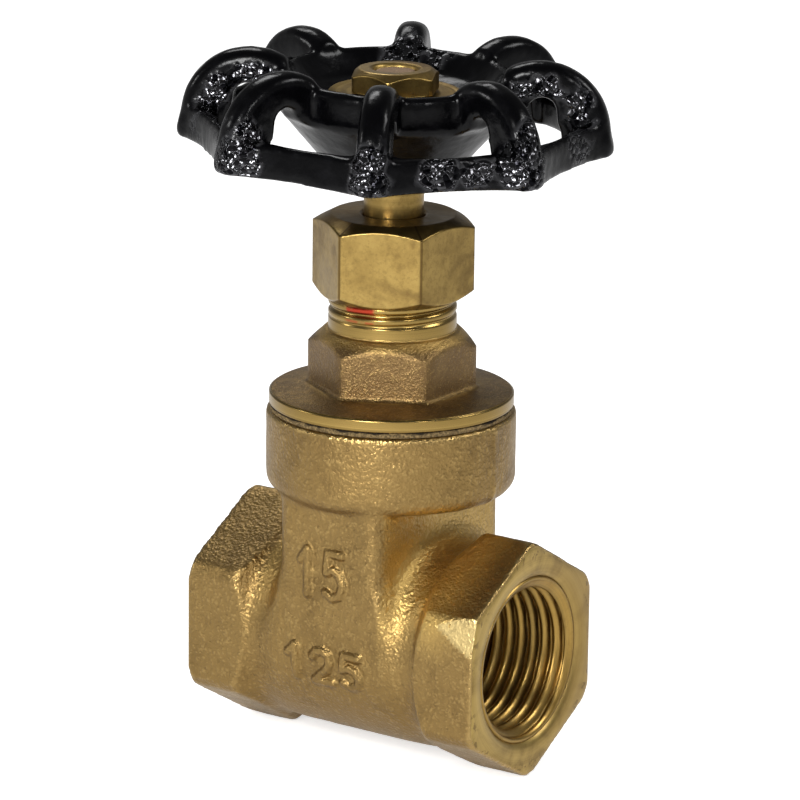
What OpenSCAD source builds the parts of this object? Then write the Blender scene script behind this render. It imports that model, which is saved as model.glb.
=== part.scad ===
// Half-inch gate valve with a non-rising stem and an arched-rib handwheel.
// The pipe runs along X and the stem stands along Z. The origin is the centre of the inlet face.

/* [Body] */
// Length over the two pipe faces
body_len = 45.2; // [43:0.2:60]
// Width across flats of the pipe hexes
hex_af = 28; // [27:0.25:34]
// Length of each pipe hex along its flats
hex_len = 9.2; // [8.4:0.2:12]
// Radius that the hex corners are cut back to
hex_corner_r = 15.75; // [15.3:0.05:19]
// Chamfer of the hex corners at the pipe face
hex_chamfer = 0.4; // [0.2:0.1:1.5]
// Length of the cone that backs off the hex corners towards the chamber
hex_back_len = 1.5; // [0.8:0.1:3]
// Radius of the pipe thread at its crests in the socket
socket_r = 10.6; // [9:0.1:11]
// Depth of each threaded socket
socket_depth = 12.6; // [11:0.2:13]
// Radius of the countersink at the pipe face
mouth_r = 11.65; // [11.2:0.05:12.4]
// Depth of the countersink
mouth_depth = 1.1; // [0.6:0.1:2]
// Radius of the port through the seats
port_r = 6.4; // [4.5:0.1:7]
// Radius of the barrel between the hexes
barrel_r = 13.6; // [12.6:0.1:14]
// Radius of the fillet between barrel and chamber
barrel_fillet = 3; // [1:0.2:4]

/* [Chamber] */
// Thickness of the wedge chamber along the pipe
chamber_len = 16.6; // [15.6:0.2:19]
// Radius of the chamber's round bottom, and half its width
chamber_r = 14.2; // [13.8:0.1:15]
// Height of the round bottom's centre over the pipe axis
chamber_rise = 0.45; // [0:0.05:1]
// Rounding of the chamber's upright edges
chamber_edge_r = 2.2; // [1:0.1:3]
// Wall of the chamber round the wedge
chamber_wall = 3.8; // [2.8:0.1:4]
// Half the chamber's inner width along the pipe, above the seats
bay_half = 6.2; // [5.9:0.1:6.6]
// Width of the guide ribs for the wedge
guide_w = 2.4; // [1.6:0.1:3.2]

/* [Collar] */
// Outer radius of the collar under the bonnet
collar_r = 16.3; // [15.9:0.1:19]
// Height of the collar's lower edge over the pipe axis
collar_z = 19.7; // [18.7:0.2:21.5]
// Height of the collar's upper face over the pipe axis
collar_top_z = 30.4; // [28.6:0.2:34]
// Rounding of the collar's lower edge
collar_round = 2.1; // [1:0.1:3]
// Bore of the collar, for the bonnet's screwed spigot
collar_bore_r = 12.6; // [12:0.1:13]
// Depth of the collar's bore
collar_bore_depth = 8.4; // [7:0.2:9]

/* [Wedge] */
// Radius of the wedge disc
wedge_r = 8.6; // [7.4:0.1:8.8]
// Thickness of the wedge at the pipe axis
wedge_t = 10.2; // [9.4:0.1:10.4]
// Slope of each wedge face
wedge_angle = 4; // [2:0.5:4.5]
// Radius of the wedge's screw boss
boss_r = 5; // [4.6:0.1:5.2]
// Depth of the guide grooves in the wedge's edges
groove_depth = 1.1; // [0.8:0.1:1.6]
// How far the screw lifts the wedge
lift = 14.6; // [13:0.1:15]
// Gap between the shut wedge and its seats
seat_gap = 0.3; // [0.2:0.05:0.4]
// Length of the screw inside the boss, shut
screw_grip = 5; // [3:0.5:6]

/* [Bonnet] */
// Thickness of the bonnet gasket
gasket_t = 0.7; // [0.4:0.1:1.5]
// Outer radius of the bonnet flange
flange_r = 15.95; // [15:0.05:18]
// Height of the flange's machined edge
flange_edge = 1.7; // [1:0.1:3]
// Rise of the flange's top from its edge to the hex
flange_rise = 0.7; // [0.2:0.1:1.5]
// Length of the screwed spigot below the flange
spigot_len = 7.6; // [6:0.2:8]
// Inner radius of the spigot, which takes in the raised wedge
spigot_bore_r = 10; // [9.4:0.1:10.6]
// Thickness of the roof over the raised wedge, up to the shoulder of the stuffing box
roof_t = 8.4; // [6:0.2:10]
// Drop of the roof's underside below the gasket's top
roof_drop = 1.3; // [0.5:0.1:2]
// Width across flats of the bonnet hex
bonnet_af = 19.5; // [18.9:0.1:22]
// Turn of the bonnet hex about the stem
bonnet_turn = -1.3; // [-30:0.1:30]
// Height of the bonnet hex over the flange
bonnet_hex_h = 7.1; // [5:0.1:9]
// Slope of the cone on top of the bonnet hex
bonnet_bevel = 36.5; // [25:0.5:45]
// Outer radius of the screwed neck
neck_r = 8.4; // [8.2:0.05:8.8]
// Height of the neck over the hex
neck_h = 12.2; // [11:0.2:13]

/* [Stem seal] */
// Radius of the stem
stem_r = 3.9; // [3.5:0.05:4.2]
// Radius of the stuffing box
box_r = 6.3; // [6:0.05:6.6]
// Radius of the collar on the stem
thrust_r = 6; // [5.2:0.1:6.1]
// Thickness of the collar on the stem
thrust_t = 2.7; // [2:0.1:3.5]
// Gap over and under the collar on the stem
thrust_gap = 0.3; // [0.1:0.05:0.5]
// Height of the packing
packing_h = 8; // [6:0.5:9]
// Width across flats of the packing nut
nut_af = 18.6; // [18.2:0.1:22]
// Turn of the packing nut about the stem
nut_turn = -5.5; // [-30:0.1:30]
// Height of the packing nut
nut_h = 10.8; // [9:0.1:13]
// Thickness of the packing nut's crown
nut_crown = 2; // [1.5:0.1:3]
// Part of the neck that stays bare below the packing nut
neck_bare = 4.8; // [3:0.1:6]
// Radius of the screw that moves the wedge
screw_r = 3.4; // [3:0.1:3.5]
// Running clearance of the stem, all round
run_gap = 0.1; // [0.05:0.05:0.1]

/* [Handwheel] */
// Gap between the packing nut and the wheel's hub
hub_gap = 6.8; // [6:0.2:10]
// Radius of the hub at its lower face
hub_r = 9.4; // [8:0.1:11]
// Hollow of the hub's cone, halfway up to the dish's wall
hub_hollow = 0.5; // [0:0.1:1.5]
// Height of the floor of the dish over the hub's lower face
floor_h = 8.5; // [7.5:0.1:9.5]
// Radius of the flat floor of the dish
floor_r = 9.4; // [9:0.1:10]
// Outer radius of the dish's lip
lip_r = 15.3; // [14.8:0.1:16]
// Height of the lip over the floor of the dish
lip_h = 3.4; // [2.4:0.1:4]
// Height of the dish's outer wall
wall_h = 5.2; // [4:0.1:6]
// Number of arched ribs
rib_count = 8; // [5:1:8]
// Turn of the wheel about the stem
wheel_turn = -61.3; // [-180:0.1:180]
// Thickness of each rib across the rim
rib_t = 4.2; // [3.6:0.1:5.4]
// Outer radius of each arch
arch_r = 9.1; // [8.6:0.1:9.6]
// Distance of the arch's centre from the stem
arch_at_r = 18.6; // [18:0.1:20]
// Height of the arch's centre over the hub's lower face
arch_at_h = 5; // [4:0.1:6]
// Rounding of the arch's outer edges
arch_edge_r = 1.6; // [0.8:0.1:2]
// Radius of the eye under each arch
eye_r = 1.9; // [1.4:0.1:2.4]
// Distance of the eye's centre from the stem
eye_at_r = 18.9; // [18.4:0.1:19.4]
// Height of the eye's centre over the arch's centre
eye_h = 2.8; // [2:0.1:3.4]
// Distance from the stem at which the eye ends, towards the rim
eye_end_r = 21.5; // [21.2:0.1:22.4]
// Radius of the rim at its lower edge, at the ribs
rim_r = 28.3; // [27.5:0.1:30]
// Inner radius of the rim
rim_bore_r = 22.9; // [22.4:0.1:23.4]
// Height of the rim
rim_h = 4.4; // [3.6:0.1:5.4]
// Height of the rim's lower edge over the hub's lower face
rim_z = 2; // [1:0.1:3]
// Radius of the rim halfway between two ribs
grip_r = 25; // [24.8:0.1:27]
// Radius of each hollow grip between two ribs
grip_curve_r = 36; // [30:1:90]
// Inward lean of the rim's outer face over its height
rim_lean = 0.6; // [0.2:0.1:1]
// Tilt of the wheel, which sits a little askew on its loose square
wheel_tilt = 2; // [0:0.1:2.2]
// Direction of the line that the wheel is tilted about
tilt_turn = 57; // [-180:1:180]

/* [Wheel fastening] */
// Width of the stem's square drive
square_w = 6; // [5.9:0.1:6.4]
// Gap between the square and its hole in the wheel, all round
square_gap = 0.2; // [0.2:0.05:0.3]
// Radius of the plain disc on the dish's floor
disc_r = 8.7; // [7:0.1:9]
// Thickness of the plain disc
disc_t = 0.6; // [0.4:0.1:1]
// Radius of the stem's screwed end
end_r = 2.85; // [2.2:0.05:2.9]
// Width across flats of the wheel nut
wheel_nut_af = 10.5; // [9.4:0.1:13]
// Height of the wheel nut
wheel_nut_h = 2.9; // [2.4:0.1:4]
// Turn of the wheel nut about the stem
wheel_nut_turn = -4.5; // [-30:0.1:30]
// How far the stem's end stays below the top of the nut
end_below = 0.4; // [0.1:0.1:1]

/* [Hidden] */
$fn = 64;

// The stem axis crosses the pipe axis here
stem_x = body_len / 2;

// Heights over the pipe axis, from the collar up
flange_z = collar_top_z + gasket_t;
flange_top_z = flange_z + flange_edge;
hex_z = flange_top_z + flange_rise;
neck_z = hex_z + bonnet_hex_h;
neck_top_z = neck_z + neck_h;
ceiling_z = flange_z - roof_drop;
shoulder_z = ceiling_z + roof_t;
thrust_z = shoulder_z + thrust_gap;
packing_z = thrust_z + thrust_t + thrust_gap;
gland_z = packing_z + packing_h;
nut_z = neck_z + neck_bare;
nut_top_z = nut_z + nut_h;
crown_z = nut_top_z - nut_crown;
hub_z = nut_top_z + hub_gap;
floor_z = hub_z + floor_h;
tilt_z = hub_z + floor_h / 2;
tilt_rise = sin(wheel_tilt);
wheel_nut_z = floor_z + disc_t + corner(wheel_nut_af) * tilt_rise;
end_z = wheel_nut_z + wheel_nut_h - end_below;
shank_top_z = hub_z - stem_r * tilt_rise - run_gap;
disc_hole_r = end_r + run_gap + (floor_z + disc_t - tilt_z) * tilt_rise;

// Wedge, its bay and its screw
wedge_slope = tan(wedge_angle);
bay_r = chamber_r - chamber_wall;
bay_top_z = collar_top_z - collar_bore_depth;
groove_r = wedge_r - groove_depth;
side_gap = 0.3;
lifted_gap = 1.3;
boss_top_z = ceiling_z - lifted_gap - lift;
tip_z = boss_top_z - screw_grip;
screw_bottom_gap = 0.2;
guide_low_z = -3;

// Amount that the corners of the upper hexes are broken
corner_break = 0.2;

// Overshoot of every cut past the face it opens
cut = 1;

// Corner radius of a hex, from its width across flats
function corner(af) = af / 2 / cos(30);

// Corner radius of a hex whose corners are broken a little
function worn_corner(af) = corner(af) - corner_break;

// Points of an arc, as [x, y] pairs
function arc(x, y, r, from, to, steps = 6) =
    [for (i = [0:steps]) let (a = from + (to - from) * i / steps) [x + r * cos(a), y + r * sin(a)]];

// Puts a shape made round the stem in its place
module on_stem() { translate([stem_x, 0, 0]) children(); }

// Tilts the wheel and its disc about the middle of the square
module on_wheel() {
    on_stem() translate([0, 0, tilt_z]) rotate([0, 0, tilt_turn]) rotate([wheel_tilt, 0, 0])
        rotate([0, 0, -tilt_turn]) translate([0, 0, -tilt_z]) children();
}

module hex_bar(af, height) { cylinder(r = corner(af), h = height, $fn = 6); }

module rounded_rect(width, depth, r) {
    square([width - 2 * r, depth], center = true);
    square([width, depth - 2 * r], center = true);
    for (x = [-1, 1], y = [-1, 1])
        translate([x * (width / 2 - r), y * (depth / 2 - r)]) circle(r);
}

// One pipe hex with its face at the origin, running along +X, corners up and down
module pipe_hex() {
    back_r = hex_af / 2;
    rotate([0, 90, 0]) intersection() {
        hex_bar(hex_af, hex_len);
        rotate_extrude() polygon([
            [0, 0], [hex_corner_r - hex_chamfer, 0], [hex_corner_r, hex_chamfer],
            [hex_corner_r, hex_len - hex_back_len], [back_r, hex_len], [0, hex_len]
        ]);
    }
}

// Outline of the chamber seen along the pipe, up to a height over the pipe axis
module chamber_outline(top_z) {
    translate([-chamber_rise, 0]) circle(chamber_r, $fn = 96);
    translate([-top_z, -chamber_r]) square([top_z - chamber_rise, 2 * chamber_r]);
}

// Round barrel between the hexes, with a fillet up each side of the chamber
module barrel() {
    half = body_len / 2 - hex_len;
    side_x = chamber_len / 2;
    rotate([0, 90, 0]) intersection() {
        translate([0, 0, -half - cut]) linear_extrude(2 * (half + cut)) chamber_outline(collar_z);
        rotate_extrude($fn = 96) union() {
            translate([0, -half - cut]) square([barrel_r, 2 * (half + cut)]);
            for (side = [-1, 1]) scale([1, side]) polygon(concat(
                [[0, side_x - cut], [barrel_r + barrel_fillet, side_x - cut]],
                arc(barrel_r + barrel_fillet, side_x + barrel_fillet, barrel_fillet, 270, 180),
                [[0, side_x + barrel_fillet]]
            ));
        }
    }
}

// Flat-sided chamber that carries the collar
module chamber() {
    top_z = collar_z + collar_round;
    intersection() {
        translate([0, 0, -chamber_r]) linear_extrude(chamber_r + top_z)
            rounded_rect(chamber_len, 2 * chamber_r, chamber_edge_r);
        rotate([0, 90, 0]) translate([0, 0, -chamber_len]) linear_extrude(2 * chamber_len)
            chamber_outline(top_z + cut);
    }
}

module collar() {
    rotate_extrude($fn = 96) polygon(concat(
        [[0, collar_top_z], [0, collar_z]],
        arc(collar_r - collar_round, collar_z + collar_round, collar_round, -90, 0),
        [[collar_r, collar_top_z]]
    ));
}

// Space for the wedge: sloped seats below, straight walls above
module wedge_bay() {
    low_z = -bay_r - cut;
    high_z = bay_top_z + cut;
    seat_half = wedge_t / 2 + seat_gap / cos(wedge_angle);
    straight_z = (bay_half - seat_half) / wedge_slope;
    low_half = seat_half + low_z * wedge_slope;
    intersection() {
        rotate([90, 0, 0]) translate([0, 0, -bay_r - cut]) linear_extrude(2 * (bay_r + cut)) polygon([
            [-low_half, low_z], [low_half, low_z], [bay_half, straight_z], [bay_half, high_z],
            [-bay_half, high_z], [-bay_half, straight_z]
        ]);
        rotate([0, 90, 0]) translate([0, 0, -bay_half - cut]) linear_extrude(2 * (bay_half + cut)) {
            circle(bay_r);
            translate([-high_z, -bay_r]) square([high_z, 2 * bay_r]);
        }
    }
}

// Upright ribs that guide the wedge's edges
module guides() {
    guide_in = groove_r + side_gap;
    for (side = [-1, 1])
        translate([-guide_w / 2, side > 0 ? guide_in : -bay_r - cut, guide_low_z])
            cube([guide_w, bay_r + cut - guide_in, bay_top_z - guide_low_z]);
}

module socket() {
    rotate([0, 90, 0]) {
        translate([0, 0, -cut]) cylinder(r = socket_r, h = socket_depth + cut);
        cylinder(r1 = mouth_r, r2 = socket_r, h = mouth_depth);
        translate([0, 0, -cut]) cylinder(r = mouth_r, h = cut);
    }
}

module body() {
    color("darkgoldenrod") difference() {
        union() {
            pipe_hex();
            translate([body_len, 0, 0]) mirror([1, 0, 0]) pipe_hex();
            on_stem() {
                barrel();
                chamber();
                collar();
            }
        }
        socket();
        translate([body_len, 0, 0]) mirror([1, 0, 0]) socket();
        rotate([0, 90, 0]) cylinder(r = port_r, h = body_len);
        on_stem() {
            difference() {
                wedge_bay();
                guides();
            }
            translate([0, 0, bay_top_z]) cylinder(r = collar_bore_r, h = collar_bore_depth + cut);
        }
    }
}

module gasket() {
    color("dimgray") on_stem() translate([0, 0, collar_top_z]) difference() {
        cylinder(r = flange_r, h = gasket_t);
        translate([0, 0, -cut]) cylinder(r = collar_bore_r, h = gasket_t + 2 * cut);
    }
}

module bonnet() {
    spigot_r = collar_bore_r - run_gap;
    lead_in = 0.8;
    color("goldenrod") on_stem() difference() {
        union() {
            rotate_extrude($fn = 96) polygon([
                [0, flange_z - spigot_len], [spigot_r - lead_in, flange_z - spigot_len],
                [spigot_r, flange_z - spigot_len + lead_in], [spigot_r, flange_z], [flange_r, flange_z],
                [flange_r, flange_top_z], [worn_corner(bonnet_af), hex_z], [0, hex_z]
            ]);
            bonnet_hex();
            translate([0, 0, hex_z]) cylinder(r = neck_r, h = neck_top_z - hex_z);
        }
        translate([0, 0, flange_z - spigot_len - cut])
            cylinder(r = spigot_bore_r, h = ceiling_z - flange_z + spigot_len + cut);
        cylinder(r = stem_r + run_gap, h = neck_top_z);
        translate([0, 0, shoulder_z]) cylinder(r = box_r, h = neck_top_z - shoulder_z + cut);
    }
}

// Hex of the bonnet, its corners broken and its top turned to a cone
module bonnet_hex() {
    corner_r = worn_corner(bonnet_af);
    ledge_r = neck_r + 0.4;
    cone_low = neck_z - (corner_r - ledge_r) * tan(bonnet_bevel);
    intersection() {
        rotate([0, 0, bonnet_turn + 30]) translate([0, 0, flange_z]) hex_bar(bonnet_af, neck_z - flange_z);
        rotate_extrude() polygon([
            [0, flange_z], [corner_r, flange_z], [corner_r, cone_low], [ledge_r, neck_z], [0, neck_z]
        ]);
    }
}

module packing() {
    color("white") on_stem() translate([0, 0, packing_z]) difference() {
        cylinder(r = box_r - run_gap, h = packing_h);
        translate([0, 0, -cut]) cylinder(r = stem_r + run_gap, h = packing_h + 2 * cut);
    }
}

module gland() {
    color("khaki") on_stem() translate([0, 0, gland_z]) difference() {
        cylinder(r = box_r - run_gap, h = crown_z - gland_z);
        translate([0, 0, -cut]) cylinder(r = stem_r + run_gap, h = crown_z - gland_z + 2 * cut);
    }
}

module packing_nut() {
    corner_r = worn_corner(nut_af);
    face_r = nut_af / 2 - 0.4;
    bevel_h = 1.1;
    crown_r = nut_af / 2 - 1.2;
    crown_bevel = 1.3;
    color("gold") on_stem() difference() {
        intersection() {
            rotate([0, 0, nut_turn + 30]) translate([0, 0, nut_z]) hex_bar(nut_af, nut_h);
            rotate_extrude() polygon([
                [0, nut_z], [face_r, nut_z], [corner_r, nut_z + bevel_h],
                [corner_r, nut_top_z - crown_bevel], [crown_r, nut_top_z], [0, nut_top_z]
            ]);
        }
        translate([0, 0, nut_z - cut]) cylinder(r = neck_r + run_gap, h = crown_z - nut_z + cut);
        cylinder(r = stem_r + run_gap, h = nut_top_z + cut);
    }
}

module wedge() {
    top_half = wedge_t / 2 + wedge_r * wedge_slope;
    low_half = wedge_t / 2 - wedge_r * wedge_slope;
    color("tan") on_stem() difference() {
        union() {
            intersection() {
                rotate([0, 90, 0]) translate([0, 0, -wedge_t]) cylinder(r = wedge_r, h = 2 * wedge_t);
                translate([0, wedge_r + cut, 0]) rotate([90, 0, 0]) linear_extrude(2 * (wedge_r + cut)) polygon([
                    [-low_half, -wedge_r], [low_half, -wedge_r], [top_half, wedge_r], [-top_half, wedge_r]
                ]);
            }
            cylinder(r = boss_r, h = boss_top_z);
        }
        for (side = [-1, 1])
            translate([-guide_w / 2 - side_gap, side > 0 ? groove_r : -wedge_r - cut, -wedge_r - cut])
                cube([guide_w + 2 * side_gap, wedge_r + cut - groove_r, 2 * (wedge_r + cut)]);
        translate([0, 0, tip_z - lift - screw_bottom_gap])
            cylinder(r = screw_r + run_gap, h = 2 * boss_top_z);
    }
}

// Screw, thrust collar, plain shank, square drive and screwed end in one piece
module stem() {
    tip_bevel = 0.6;
    end_bevel = 0.4;
    square_top_z = floor_z - stem_r * tilt_rise - run_gap;
    color("darkkhaki") on_stem() {
        rotate_extrude() polygon([
            [0, tip_z], [screw_r - tip_bevel, tip_z], [screw_r, tip_z + tip_bevel],
            [screw_r, ceiling_z - (stem_r - screw_r)], [stem_r, ceiling_z], [stem_r, thrust_z],
            [thrust_r, thrust_z], [thrust_r, thrust_z + thrust_t], [stem_r, thrust_z + thrust_t],
            [stem_r, shank_top_z], [0, shank_top_z]
        ]);
        intersection() {
            translate([-square_w / 2, -square_w / 2, shank_top_z - cut])
                cube([square_w, square_w, square_top_z - shank_top_z + cut]);
            translate([0, 0, shank_top_z - cut]) cylinder(r = stem_r, h = floor_h + 2 * cut);
        }
        rotate_extrude() polygon([
            [0, hub_z], [end_r, hub_z], [end_r, end_z - end_bevel], [end_r - end_bevel, end_z], [0, end_z]
        ]);
    }
}

// Hub and dish, turned about the stem
module dish() {
    lip_z = floor_z + lip_h;
    lip_t = 1.8;
    lip_round = 0.9;
    floor_rise = 0.5;
    edge = 0.5;
    wall_z = lip_z - wall_h;
    rotate_extrude() polygon(concat(
        [[0, hub_z], [hub_r - edge, hub_z], [hub_r, hub_z + edge],
         [(hub_r + lip_r) / 2 - hub_hollow, (hub_z + wall_z) / 2],
         [lip_r - edge, wall_z], [lip_r, wall_z + edge]],
        arc(lip_r - lip_round, lip_z - lip_round, lip_round, 0, 150),
        [[floor_r + lip_t, floor_z + floor_rise], [floor_r, floor_z], [0, floor_z]]
    ));
}

module handwheel() {
    hole_w = square_w + 2 * square_gap;
    color("black") on_wheel() difference() {
        union() {
            dish();
            rim();
            for (i = [0:rib_count - 1]) rotate([0, 0, wheel_turn + 360 / rib_count * i]) rib();
        }
        translate([-hole_w / 2, -hole_w / 2, hub_z - cut]) cube([hole_w, hole_w, floor_h + 2 * cut]);
    }
}

// Rim with a hollow grip between each two ribs
module rim() {
    low_z = hub_z + rim_z;
    top_z = low_z + rim_h;
    top_round = 0.9;
    edge = 0.5;
    difference() {
        rotate_extrude($fn = 96) polygon(concat(
            [[rim_bore_r + edge, low_z], [rim_r - edge, low_z], [rim_r, low_z + edge]],
            arc(rim_r - rim_lean - top_round, top_z - top_round, top_round, 0, 90),
            arc(rim_bore_r + top_round, top_z - top_round, top_round, 90, 180),
            [[rim_bore_r, low_z + edge]]
        ));
        for (i = [0:rib_count - 1]) rotate([0, 0, wheel_turn + 360 / rib_count * (i + 0.5)])
            translate([grip_r + grip_curve_r, 0, low_z - cut])
                cylinder(r1 = grip_curve_r, r2 = grip_curve_r + rim_lean, h = rim_h + 2 * cut, $fn = 120);
    }
}

// One arched rib from the dish's lip to the foot of the rim, with its eye
module rib() {
    centre_z = hub_z + arch_at_h;
    low_z = hub_z + rim_z;
    lip_bite = 1;
    inner_r = lip_r - lip_bite;
    difference() {
        union() {
            difference() {
                translate([arch_at_r, 0, centre_z]) rotate([90, 0, 0]) rotate_extrude() arch_section();
                translate([0, -rib_t, centre_z - 2 * arch_r]) cube([2 * rim_r, 2 * rib_t, 2 * arch_r]);
            }
            rib_foot(low_z, centre_z);
            translate([inner_r, -rib_t / 2, floor_z - lip_bite]) cube([eye_at_r - inner_r, rib_t, lip_h]);
        }
        eye(inner_r, centre_z);
        translate([0, 0, floor_z]) cylinder(r = inner_r - lip_bite / 2, h = 2 * arch_r);
        translate([0, 0, hub_z - arch_r]) cylinder(r = inner_r - lip_bite, h = 2 * arch_r);
    }
}

// Eye under an arch, open to the space below the dish
module eye(inner_r, centre_z) {
    inner = inner_r - eye_at_r;
    outer = eye_end_r - eye_at_r;
    translate([eye_at_r, rib_t, centre_z]) rotate([90, 0, 0]) linear_extrude(2 * rib_t) {
        translate([0, eye_h]) circle(eye_r);
        polygon([[-eye_r, eye_h], [eye_r, eye_h], [eye_r, 2 * eye_h / 3], [outer, 0], [outer, -arch_r],
                 [-eye_at_r, -arch_r], [-eye_at_r, eye_h / 2], [inner, eye_h / 2]]);
    }
}

// Half section of an arch: straight inside, rounded at the outer edge
module arch_section() {
    half = rib_t / 2;
    translate([0, -half]) square([arch_r - arch_edge_r, rib_t]);
    translate([0, arch_edge_r - half]) square([arch_r, rib_t - 2 * arch_edge_r]);
    for (side = [-1, 1])
        translate([arch_r - arch_edge_r, side * (half - arch_edge_r)]) circle(arch_edge_r, $fn = 32);
}

// Foot of a rib, which spreads outwards down the rim
module rib_foot(low_z, high_z) {
    half = rib_t / 2;
    toe = 1;
    intersection() {
        translate([0, 0, low_z]) linear_extrude(high_z - low_z) {
            translate([eye_end_r, -half]) square([rim_r - eye_end_r - arch_edge_r, rib_t]);
            translate([eye_end_r, arch_edge_r - half]) square([rim_r - eye_end_r, rib_t - 2 * arch_edge_r]);
            for (side = [-1, 1])
                translate([rim_r - arch_edge_r, side * (half - arch_edge_r)]) circle(arch_edge_r, $fn = 32);
        }
        rotate([90, 0, 0]) translate([0, 0, -rib_t]) linear_extrude(2 * rib_t) polygon([
            [eye_end_r + toe, low_z], [rim_r - toe, low_z], [rim_r, low_z + toe],
            [arch_at_r + arch_r, high_z], [eye_end_r, high_z], [eye_end_r, low_z + toe]
        ]);
    }
}

module plain_disc() {
    color("gold") on_wheel() translate([0, 0, floor_z]) difference() {
        cylinder(r = disc_r, h = disc_t);
        translate([0, 0, -cut]) cylinder(r = disc_hole_r, h = disc_t + 2 * cut);
    }
}

module wheel_nut() {
    corner_r = worn_corner(wheel_nut_af);
    face_r = wheel_nut_af / 2 - 0.5;
    bevel_h = 0.9;
    top_z = wheel_nut_z + wheel_nut_h;
    color("gold") on_stem() difference() {
        intersection() {
            rotate([0, 0, wheel_nut_turn]) translate([0, 0, wheel_nut_z]) hex_bar(wheel_nut_af, wheel_nut_h);
            rotate_extrude() polygon([
                [0, wheel_nut_z], [corner_r, wheel_nut_z], [corner_r, top_z - bevel_h],
                [face_r, top_z], [0, top_z]
            ]);
        }
        cylinder(r = end_r + run_gap, h = top_z + cut);
    }
}

body();
gasket();
bonnet();
packing();
gland();
packing_nut();
wedge();
stem();
handwheel();
plain_disc();
wheel_nut();
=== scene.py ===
import math
import bmesh
import bpy
import numpy as np
from mathutils import Matrix, Quaternion, Vector, noise


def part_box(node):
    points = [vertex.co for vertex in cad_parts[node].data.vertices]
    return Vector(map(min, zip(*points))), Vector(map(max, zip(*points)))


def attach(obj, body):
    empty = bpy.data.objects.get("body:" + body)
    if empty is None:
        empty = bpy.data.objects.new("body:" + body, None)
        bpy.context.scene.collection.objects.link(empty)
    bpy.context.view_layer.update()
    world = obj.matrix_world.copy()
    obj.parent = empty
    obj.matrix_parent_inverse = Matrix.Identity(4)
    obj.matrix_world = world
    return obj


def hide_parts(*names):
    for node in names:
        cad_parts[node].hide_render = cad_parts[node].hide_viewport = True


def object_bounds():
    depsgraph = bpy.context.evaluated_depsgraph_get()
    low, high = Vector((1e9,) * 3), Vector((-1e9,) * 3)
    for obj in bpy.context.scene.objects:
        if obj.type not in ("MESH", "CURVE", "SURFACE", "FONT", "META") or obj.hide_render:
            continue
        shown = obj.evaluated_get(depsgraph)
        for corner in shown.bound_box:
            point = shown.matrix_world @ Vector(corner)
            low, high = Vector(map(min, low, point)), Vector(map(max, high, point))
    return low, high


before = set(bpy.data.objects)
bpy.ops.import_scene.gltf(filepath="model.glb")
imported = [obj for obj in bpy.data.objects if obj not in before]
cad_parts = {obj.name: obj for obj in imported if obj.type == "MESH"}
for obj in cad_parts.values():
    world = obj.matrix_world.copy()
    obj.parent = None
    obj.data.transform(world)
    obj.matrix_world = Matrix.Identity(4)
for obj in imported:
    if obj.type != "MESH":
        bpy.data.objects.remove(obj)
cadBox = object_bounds()
mm = 0.001

# the valve's own lines, all from the frame
bodyLow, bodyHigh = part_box("body")
stemX = (bodyLow.x + bodyHigh.x) / 2
pipeEnd = bodyHigh.x
floorZ = cadBox[0][2]


# shader helpers
def feed(tree, socket, value):
    # a number, a vector or a colour is set, and another node's socket is linked
    if isinstance(value, tuple) and socket.type == "RGBA":
        value = (*value, 1)
    if isinstance(value, (int, float, tuple)):
        socket.default_value = value
    else:
        tree.links.new(value, socket)


def addNode(tree, kind, inputs, **settings):
    # inputs go to the node's sockets by name or number, and settings are its own
    node = tree.nodes.new(kind)
    for label, value in settings.items():
        setattr(node, label, value)
    for label, value in inputs.items():
        feed(tree, node.inputs[label], value)
    return node.outputs


def newGroup(name, inputs, outputs):
    group = bpy.data.node_groups.new(name, "ShaderNodeTree")
    for label, kind in inputs:
        group.interface.new_socket(label, in_out="INPUT", socket_type=kind)
    for label in outputs:
        group.interface.new_socket(label, in_out="OUTPUT", socket_type="NodeSocketFloat")
    return group, group.nodes.new("NodeGroupInput").outputs, group.nodes.new("NodeGroupOutput").inputs


def placeGroup(tree, group, **values):
    return addNode(tree, "ShaderNodeGroup", values, node_tree=group)


def mathNode(tree, operation, *values):
    return addNode(tree, "ShaderNodeMath", dict(enumerate(values)), operation=operation)[0]


def plus(tree, a, b):
    return mathNode(tree, "ADD", a, b)


def times(tree, a, b):
    return mathNode(tree, "MULTIPLY", a, b)


def larger(tree, a, b):
    return mathNode(tree, "MAXIMUM", a, b)


def vectorMath(tree, operation, *values):
    outputs = addNode(tree, "ShaderNodeVectorMath", dict(enumerate(values)), operation=operation)
    return outputs["Value" if operation == "DOT_PRODUCT" else "Vector"]


def scaledVector(tree, vector, factor):
    return addNode(tree, "ShaderNodeVectorMath", {0: vector, "Scale": factor}, operation="SCALE")["Vector"]


def rampNode(tree, value, low, high, outLow=0.0, outHigh=1.0):
    # a smooth step from outLow at low to outHigh at high
    inputs = {"Value": value, "From Min": low, "From Max": high, "To Min": outLow, "To Max": outHigh}
    return addNode(tree, "ShaderNodeMapRange", inputs, interpolation_type="SMOOTHSTEP")["Result"]


def mixColour(tree, factor, a, b):
    # the mix node has its colours at inputs 6 and 7 and at output 2
    return addNode(tree, "ShaderNodeMix", {0: factor, 6: a, 7: b}, data_type="RGBA")[2]


def mixValue(tree, factor, a, b):
    return addNode(tree, "ShaderNodeMix", {0: factor, 2: a, 3: b}, data_type="FLOAT")[0]


def noiseNode(tree, vector, scale, detail, roughness, distortion=0.0):
    return addNode(tree, "ShaderNodeTexNoise", {
        "Vector": vector, "Scale": scale, "Detail": detail, "Roughness": roughness,
        "Distortion": distortion})["Fac"]


def cellNode(tree, vector, scale, smoothness):
    return addNode(tree, "ShaderNodeTexVoronoi", {
        "Vector": vector, "Scale": scale, "Smoothness": smoothness}, feature="SMOOTH_F1")


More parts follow.
